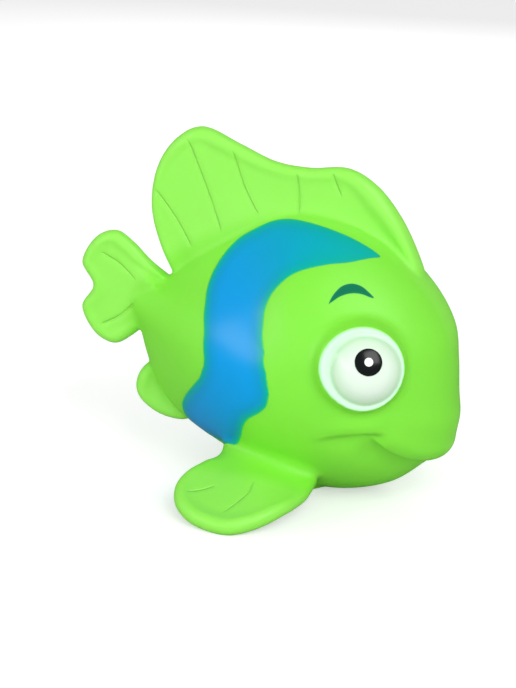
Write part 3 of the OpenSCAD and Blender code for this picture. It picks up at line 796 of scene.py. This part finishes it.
def ray_distance(flat, rays):
    """Distance to the nearest ray, positive on one side and negative on the other, and how near a ray's middle part
    is: one on the ray, nothing 1.4 mm away from it or at its ends."""
    best, mask = np.full(len(flat), 50.0), np.zeros(len(flat))
    for ray in rays:
        curve = curve_through(ray)
        away, share = nearest_on(curve, flat)
        k = np.clip((share * (len(curve) - 1)).astype(int), 0, len(curve) - 2)
        way, start = np.diff(curve, axis=0)[k], curve[k]
        side = np.where((flat[:, 0] - start[:, 0]) * way[:, 1] > (flat[:, 1] - start[:, 1]) * way[:, 0], 1, -1)
        best = np.where(away < np.abs(best), away * side, best)
        mask = np.maximum(mask, (1 - ramp(away, 0.8, 1.4)) * ramp(share, 0.0, 0.1) * (1 - ramp(share, 0.85, 1.0)))
    return best, mask


rays, mask = ray_distance(points[:, [0, 2]], FIN_RAYS)
side_rays, side_mask = ray_distance(np.stack([points[:, 0], reach], -1), FLIPPER_RAYS)
on_side = (wide > 20) & (points[:, 2] < 14)
keep(vinyl, "ray", np.clip(np.where(on_side, side_rays, rays), -5, 5))
keep(vinyl, "ray_near", np.where(on_side, 0.7 * side_mask, mask * (wide < 6.5)))
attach(vinyl, "toy")
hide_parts("body_shell")

# %% [markdown]
# ## Sprayed paint
# The band and the brows are sprayed through masks, so they are thin coats on the vinyl. A coat is a grid between two
# edge curves, given as shares round the outline and latitudes, laid on the skin with a Shrinkwrap modifier and
# closed with Solidify. Each vertex keeps its distance from the coat's edge, because spray is thin there and the green
# shows through.

# %% Coats
STRIPE_ROWS = [
    [0.2045, 21, 0.2045, 19.9], [0.2218, 34.5, 0.2114, 19.7], [0.2429, 42.1, 0.2303, 20],
    [0.2594, 46.4, 0.2508, 19.7], [0.2747, 49.9, 0.2719, 17.8], [0.29, 53.7, 0.2985, 13.6],
    [0.3062, 57.6, 0.3223, 17.2], [0.3194, 62.2, 0.3413, 20.7], [0.3303, 67.8, 0.362, 28.2],
    [0.3423, 72.7, 0.3807, 35.6], [0.3523, 76.1, 0.3979, 42.6], [0.3653, 78.9, 0.4154, 49.7],
    [0.4332, 84.3, 0.4462, 57.9], [0.5319, 85.6, 0.475, 61.3], [0.6222, 85, 0.5097, 63.4],
    [0.6614, 84, 0.5336, 63.5], [0.683, 82.8, 0.5533, 62.5], [0.708, 79.1, 0.5844, 58.7], [0.7093, 74.5, 0.6092, 51],
    [0.7011, 66.9, 0.6288, 40.6], [0.7043, 60.5, 0.6434, 31], [0.7115, 53.3, 0.6605, 20.9],
    [0.7146, 47.8, 0.674, 14], [0.7165, 40, 0.684, 11],
]
COAT, COAT_GAP = 0.05, 0.03
BROW_ROWS = [
    [0.186, 42.2, 0.1865, 41.6], [0.19, 43.2, 0.193, 41.6], [0.197, 44.6, 0.202, 41.8], [0.205, 47.2, 0.211, 43.8],
    [0.213, 51.3, 0.218, 47.8], [0.218, 55.3, 0.221, 52.9], [0.2205, 57.2, 0.221, 56.4],
]


def laid(name, points, face_sets, values):
    """Coat of paint: an open net over the vinyl, laid on it with Shrinkwrap and closed with Solidify. It keeps the
    given values on its vertices."""
    piece = put_mesh(name + "_net", points, *face_sets)
    for attribute, numbers in values.items():
        keep(piece, attribute, numbers)
    lay = piece.modifiers.new("on the skin", "SHRINKWRAP")
    lay.target, lay.wrap_mode, lay.offset = vinyl, "ABOVE_SURFACE", COAT_GAP * MM
    thicken = piece.modifiers.new("coat", "SOLIDIFY")
    thicken.thickness, thicken.offset = COAT * MM, 1.0
    out = settled(piece, name)
    bpy.data.objects.remove(piece)
    face_outwards(out)
    smooth_shaded(out)
    print(name, round(enclosed(out.data), 1), "mm3,", len(out.data.polygons), "faces")
    return out


def coat_piece(name, rows, columns, strips, side):
    """Paint coat between two edge curves on the skin."""
    row = cubic(rows, np.linspace(0, 1, columns), False)
    t = np.linspace(0, 1, strips)[None, :, None]
    place = row[:, None, :2] * (1 - t) + row[:, None, 2:] * t
    grid = skin_point(place[..., 0], place[..., 1], 0.2) * [1, -side, 1]
    quads = grid_quads(columns, strips)
    flat = grid.reshape(-1, 3)
    edge = np.vstack([grid[:, 0], grid[-1, 1:], grid[::-1, -1][1:], grid[0, ::-1][1:]])
    values = {"edge_mm": nearest_on(edge, flat)[0], "way": np.repeat(np.linspace(0, 1, columns), strips)}
    return laid(name, flat, [quads if side < 0 else quads[:, ::-1]], values)


bands, brows = [], []
for word, side in SIDES:
    bands.append(coat_piece(f"band_{word}", STRIPE_ROWS, 300, 70, side))
    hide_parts(f"stripe_{word}")
    brows.append(coat_piece(f"eyebrow_{word}", BROW_ROWS, 110, 24, side))
    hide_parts(f"brow_{word}")

# %% Eye paint
EYE_COLUMNS = 128
EYE_GAP = 0.25
THIN_TOWARDS, THIN_BY = math.radians(35), 0.55
PUPIL_R, GLINT_R = 3.22, 1.0


def eye_coat(name, side):
    """White coat over the dome and the lip: rings round the eye's axis, closed by a fan at the pole."""
    outline = eye_outline(EYE_GAP, 36, 46.0)
    around = np.arange(EYE_COLUMNS) / EYE_COLUMNS * 2 * np.pi
    body = outline[1:]
    ring = swept(body, around)
    points = np.vstack([ring.reshape(-1, 3), [[0, 0, outline[0, 1]]]])
    faces = [grid_quads(len(body), EYE_COLUMNS, close_columns=True), fan(np.arange(EYE_COLUMNS), len(points) - 1, True)]
    if side > 0:
        faces = [f[:, ::-1] for f in faces]
    run = np.concatenate([[0], np.cumsum(np.linalg.norm(np.diff(outline, axis=0), axis=1))])
    from_edge = (run[-1] - run)[1:, None]
    thin = THIN_BY * (0.5 + 0.5 * np.cos(around - THIN_TOWARDS))
    from_edge = np.maximum(from_edge - thin * np.exp(-from_edge / 1.3), 0)
    values = {"edge_mm": np.append(from_edge, run[-1])}
    return laid(name, out_of_eye(side)(points), faces, values)


def dome_cap(name, r, under, thickness, side):
    """Round spot of paint on the eye's dome, with a rounded edge."""
    inner, outer = EYE_R + under, EYE_R + under + thickness
    turn = math.acos(r / inner)
    reach = math.degrees(turn)
    edge_middle = np.array([math.cos(turn), math.sin(turn)]) * (inner + thickness / 2)
    edge = arc(edge_middle, thickness / 2, reach, reach - 180, 7)[1:-1]
    outline = np.vstack([arc((0, 0), outer, 90, reach, 14), edge, arc((0, 0), inner, reach, 90, 8)])
    piece = turned(name, outline, place=out_of_eye(side, False))
    face_outwards(piece)
    smooth_shaded(piece)
    return piece


eyes, pupils, glints = [], [], []
for word, side in SIDES:
    eyes.append(eye_coat(f"eye_paint_{word}", side))
    pupils.append(dome_cap(f"pupil_spot_{word}", PUPIL_R, 0.06, 0.2, side))
    glints.append(dome_cap(f"glint_spot_{word}", GLINT_R, 0.22, 0.12, side))
    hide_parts(f"eye_white_{word}")
    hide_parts(f"pupil_{word}")
    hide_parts(f"glint_{word}")
for piece in bands + brows + eyes + pupils + glints:
    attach(piece, "toy")
print("eye coats enclose", [round(enclosed(p.data), 1) for p in eyes + pupils + glints], "mm3")

# %% [markdown]
# ## Materials
# Soft PVC is a satin plastic that lets a little light through, so its colour is deeper where it is thick. All colours
# are plain numbers and noise on Object coordinates. One node group, the fine grain of a rotocast surface, is shared.

# %% Material helpers
def rgb(r, g, b):
    """Linear colour of an sRGB colour given from 0 to 255."""
    c = np.array([r, g, b]) / 255
    linear = np.where(c <= 0.04045, c / 12.92, ((c + 0.055) / 1.055) ** 2.4)
    return (*linear.tolist(), 1.0)


def feed(tree, socket, value):
    """Links another node's output to a socket, or sets the socket to a plain value."""
    if isinstance(value, bpy.types.NodeSocket):
        tree.links.new(value, socket)
    else:
        socket.default_value = value


def node(tree, kind, *values, **named):
    """New node. Values feed its sockets in their order, and named ones a socket or a property of that name."""
    made = tree.nodes.new(kind)
    for key, value in named.items():
        if key in made.inputs:
            feed(tree, made.inputs[key], value)
        else:
            setattr(made, key, value)
    for socket, value in zip(made.inputs, values):
        feed(tree, socket, value)
    return made


def material(name, **sockets):
    """New material, its nodes and its Principled shader, with spaces for the underscores in the sockets' names."""
    made = bpy.data.materials.new(name)
    made.use_nodes = True
    shader = made.node_tree.nodes["Principled BSDF"]
    for socket, value in sockets.items():
        shader.inputs[socket.replace("_", " ")].default_value = value
    return made, made.node_tree, shader


def mix_colour(tree, factor, a, b):
    """Mix of two colours."""
    mix = node(tree, "ShaderNodeMix", data_type="RGBA")
    for place, value in ((0, factor), (6, a), (7, b)):
        feed(tree, mix.inputs[place], value)
    return mix.outputs[2]


def mapped(tree, value, start, end, to_start, to_end, kind="SMOOTHSTEP"):
    """A value carried from one span to another."""
    return node(tree, "ShaderNodeMapRange", value, start, end, to_start, to_end, interpolation_type=kind).outputs[0]


def maths(tree, operation, *values):
    """Result of a sum."""
    return node(tree, "ShaderNodeMath", *values, operation=operation).outputs[0]


def attribute(tree, name):
    """A value that the piece keeps on its vertices."""
    return node(tree, "ShaderNodeAttribute", attribute_name=name).outputs["Fac"]


def rough_skin(tree, shader, height, strength, distance):
    """Bump of a height on the shader's normal."""
    bump = node(tree, "ShaderNodeBump", Strength=strength, Distance=distance, Height=height)
    feed(tree, shader.inputs["Normal"], bump.outputs["Normal"])


def wear(made, *pieces):
    """Gives pieces a material in place of any that they had."""
    for piece in pieces:
        piece.data.materials.clear()
        piece.data.materials.append(made)


# %% Grain group
grain = bpy.data.node_groups.new("rotocast grain", "ShaderNodeTree")
for socket, default in (("Scale", 900.0), ("Strength", 0.1)):
    grain.interface.new_socket(socket, in_out="INPUT", socket_type="NodeSocketFloat").default_value = default
for socket in ("Cloud", "Height"):
    grain.interface.new_socket(socket, in_out="OUTPUT", socket_type="NodeSocketFloat")
into, out = grain.nodes.new("NodeGroupInput"), grain.nodes.new("NodeGroupOutput")
coords = grain.nodes.new("ShaderNodeTexCoord").outputs["Object"]
cloud = node(grain, "ShaderNodeTexNoise", Vector=coords, Scale=28.0, Detail=3.0)
fine = node(grain, "ShaderNodeTexNoise", Vector=coords, Scale=into.outputs["Scale"], Detail=4.0)
feed(grain, out.inputs["Height"], maths(grain, "MULTIPLY", fine.outputs["Fac"], into.outputs["Strength"]))
feed(grain, out.inputs["Cloud"], cloud.outputs["Fac"])


def add_grain(tree, scale, strength):
    """Cloud and height of the grain."""
    made = node(tree, "ShaderNodeGroup", node_tree=grain, Scale=scale, Strength=strength)
    return made.outputs["Cloud"], made.outputs["Height"]


def clouded(name, scale, strength, one, other, **sockets):
    """Material whose colour drifts between two with the grain's cloud."""
    made, tree, shader = material(name, **sockets)
    drift, height = add_grain(tree, scale, strength)
    feed(tree, shader.inputs["Base Color"], mix_colour(tree, drift, one, other))
    return made, tree, shader, height


# %% Green vinyl
DEEP_GREEN, FIN_GLOW_GREEN, CLOUD_GREEN = rgb(122, 219, 52), rgb(140, 226, 80), rgb(132, 224, 62)
green, tree, shader = material(
    "green soft vinyl", Roughness=0.47, IOR=1.5, Specular_IOR_Level=0.5, Subsurface_Weight=0.25,
    Subsurface_Scale=0.002, Subsurface_Radius=(0.6, 1.0, 0.35),
)
drift, height = add_grain(tree, 1400.0, 0.25)
# The fins get a lighter green. This is partly the thinner vinyl's own paler colour and partly painted light shining
# through the thin fins.
tinted = mix_colour(tree, attribute(tree, "fin"), DEEP_GREEN, FIN_GLOW_GREEN)
shade = mapped(tree, drift, 0.0, 1.0, 0.0, 0.25, "LINEAR")
feed(tree, shader.inputs["Base Color"], mix_colour(tree, shade, tinted, CLOUD_GREEN))
groove = mapped(tree, maths(tree, "ABSOLUTE", attribute(tree, "ray")), 0.0, 0.4, -3.0, 0.0)
line = maths(tree, "MULTIPLY", groove, attribute(tree, "ray_near"))
rough_skin(tree, shader, maths(tree, "ADD", line, height), 0.7, 0.00014)
wear(green, vinyl)

# %% Sprayed paints
def sprayed(name, stops, **sockets):
    """Paint whose colour follows the distance from the coat's edge: each stop is a distance in mm and a colour. The
    first is the vinyl's own green or near it, because spray is thinnest at the mask."""
    made, tree, shader = material(name, **sockets)
    reach = stops[-1][0]
    share = mapped(tree, attribute(tree, "edge_mm"), 0.0, reach, 0.0, 1.0, "LINEAR")
    blend = node(tree, "ShaderNodeValToRGB", share)
    while len(blend.color_ramp.elements) < len(stops):
        blend.color_ramp.elements.new(0.5)
    for element, (distance, colour) in zip(blend.color_ramp.elements, stops):
        element.position, element.color = distance / reach, colour
    feed(tree, shader.inputs["Base Color"], blend.outputs["Color"])
    rough_skin(tree, shader, add_grain(tree, 1600.0, 0.2)[1], 0.4, 0.0001)
    return made, tree, shader, blend.outputs["Color"]


BLUE_STOPS = [
    (0.0, DEEP_GREEN), (0.2, rgb(10, 185, 120)), (0.7, rgb(0, 160, 152)), (2.4, rgb(0, 144, 196)),
    (5.0, rgb(0, 146, 214)),
]
TEAL_STOPS = [(0.0, rgb(15, 150, 85)), (0.12, rgb(0, 118, 82)), (0.6, rgb(0, 108, 75))]
# The grey-green stops at 2.7 and 4.0 mm from the edge are painted shade in and beside the valley between the lip and
# the dome. The green at the very edge is the thin spray's own colour.
WHITE_STOPS_WITH_VALLEY_SHADE = [
    (0.0, DEEP_GREEN), (0.3, rgb(165, 230, 155)), (0.9, rgb(208, 243, 215)), (1.9, rgb(208, 240, 210)),
    (2.7, rgb(184, 221, 180)), (4.0, rgb(206, 230, 200)), (7.5, rgb(224, 236, 219)),
]
blue, tree, shader, colour = sprayed("blue sprayed paint", BLUE_STOPS, Roughness=0.28, Specular_IOR_Level=0.22)
tip = mapped(tree, attribute(tree, "way"), 0.0, 0.42, 0.9, 0.0)
feed(tree, shader.inputs["Base Color"], mix_colour(tree, tip, colour, rgb(0, 165, 150)))
teal = sprayed("teal sprayed paint", TEAL_STOPS, Roughness=0.5, Specular_IOR_Level=0.1)[0]
white = sprayed(
    "white eye paint", WHITE_STOPS_WITH_VALLEY_SHADE, Roughness=0.25, Specular_IOR_Level=0.45, Subsurface_Weight=0.1,
    Subsurface_Scale=0.001,
)[0]
black = clouded(
    "black eye paint", 600.0, 0.1, rgb(8, 12, 12), rgb(16, 20, 20), Roughness=0.2, Specular_IOR_Level=0.35,
)[0]
dot = clouded("white glint paint", 600.0, 0.1, rgb(240, 244, 242), rgb(232, 238, 234), Roughness=0.25)[0]
for made, pieces in ((blue, bands), (teal, brows), (white, eyes), (black, pupils), (dot, glints)):
    wear(made, *pieces)

# %% Whistle
plastic, tree, shader, height = clouded(
    "ivory whistle plastic", 900.0, 0.3, rgb(236, 236, 226), rgb(226, 226, 214), Roughness=0.42,
)
rough_skin(tree, shader, height, 0.3, 0.00005)
film = clouded(
    "amber reed film", 500.0, 0.2, rgb(214, 160, 70), rgb(196, 138, 52), Roughness=0.2, Transmission_Weight=0.3,
)[0]
wear(plastic, *(frame["nodes"][name] for name in ("squeaker_cup", "reed_seat", "reed_wedge")))
wear(film, frame["nodes"]["reed"])

# %% [markdown]
# ## Light and floor
# The floor and the surround are plain and nearly white, as for a catalogue picture. The surround is brightest at the
# horizon and dimmer overhead, so that the back is shaded a little. Shiny paint mirrors whatever is bright round it and
# looks washed out in a white room, so the surround and the floor are dimmer for mirrored rays, and the floor glows
# only for the camera, which keeps the belly in shade. Two soft lights give the highlights: a long narrow one from the
# left and a broad one from the upper right. One in front and one behind fill the shade and leave no highlight.

# %% Floor and surround
WHITE, FLOOR_HALF = (1.0, 1.0, 1.0, 1.0), 1500
corners = np.array([[-1, -1, 0], [1, -1, 0], [1, 1, 0], [-1, 1, 0]])
floor = put_mesh("studio_floor", corners * FLOOR_HALF, [[0, 1, 2, 3]])
pale, tree, shader = material("pale studio floor", Roughness=0.9, Specular_IOR_Level=0.1, Emission_Color=WHITE)
rays = tree.nodes.new("ShaderNodeLightPath").outputs
tone = mix_colour(tree, rays["Is Glossy Ray"], (0.6, 0.6, 0.6, 1.0), (0.2, 0.2, 0.2, 1.0))
feed(tree, shader.inputs["Base Color"], tone)
feed(tree, shader.inputs["Emission Strength"], maths(tree, "MULTIPLY", rays["Is Camera Ray"], 0.5))
wear(pale, floor)

world = bpy.data.worlds.new("studio")
world.use_nodes = True
tree = world.node_tree
sky = tree.nodes["Background"]
sky.inputs["Color"].default_value = WHITE
direction = tree.nodes.new("ShaderNodeTexCoord").outputs["Generated"]
parts = node(tree, "ShaderNodeSeparateXYZ", direction)
brightness = mapped(tree, parts.outputs["Z"], 0.1, 0.9, 0.8, 0.42)
rays = tree.nodes.new("ShaderNodeLightPath").outputs
for ray, seen in (("Is Glossy Ray", 0.2), ("Is Camera Ray", 1.0)):
    brightness = node(tree, "ShaderNodeMix", Factor=rays[ray], A=brightness, B=seen).outputs["Result"]
feed(tree, sky.inputs["Strength"], brightness)
bpy.context.scene.world = world


# %% Soft lights
def soft_light(name, place_mm, target_mm, wide_mm, tall_mm, radiance, lean=(0.0, 0.0, 1.0)):
    """Rectangular area light that faces its target, with its tall side along the lean as far as that allows. Its
    power follows from its radiance and its area."""
    lamp = bpy.data.lights.new(name, "AREA")
    lamp.shape, lamp.size, lamp.size_y = "RECTANGLE", wide_mm * MM, tall_mm * MM
    lamp.energy = radiance * math.pi * wide_mm * tall_mm * MM**2
    made = add_object(name, lamp)
    away = np.array(place_mm, float) - np.array(target_mm, float)
    z = away / np.linalg.norm(away)
    x = np.cross(lean, z)
    x /= np.linalg.norm(x)
    stand(made, x, np.cross(z, x), z, place_mm)
    return made


soft_light("leaning left light", (-376, -372, 192), (0, 0, 40), 50, 476, 11.0, (-247, 341, 221))
soft_light("broad right light", (350, -370, 470), (0, 0, 40), 400, 400, 4.5)
fills = [
    soft_light("low front fill", (160, -640, 110), (0, 0, 30), 420, 200, 3.7),
    soft_light("rear fill", (-60, 640, 330), (0, 0, 30), 420, 260, 4.5),
]
for lamp in fills:
    lamp.visible_glossy = False
view = bpy.context.scene.view_settings
view.view_transform, view.look, view.exposure, view.gamma = "Standard", "None", 0.0, 1.0
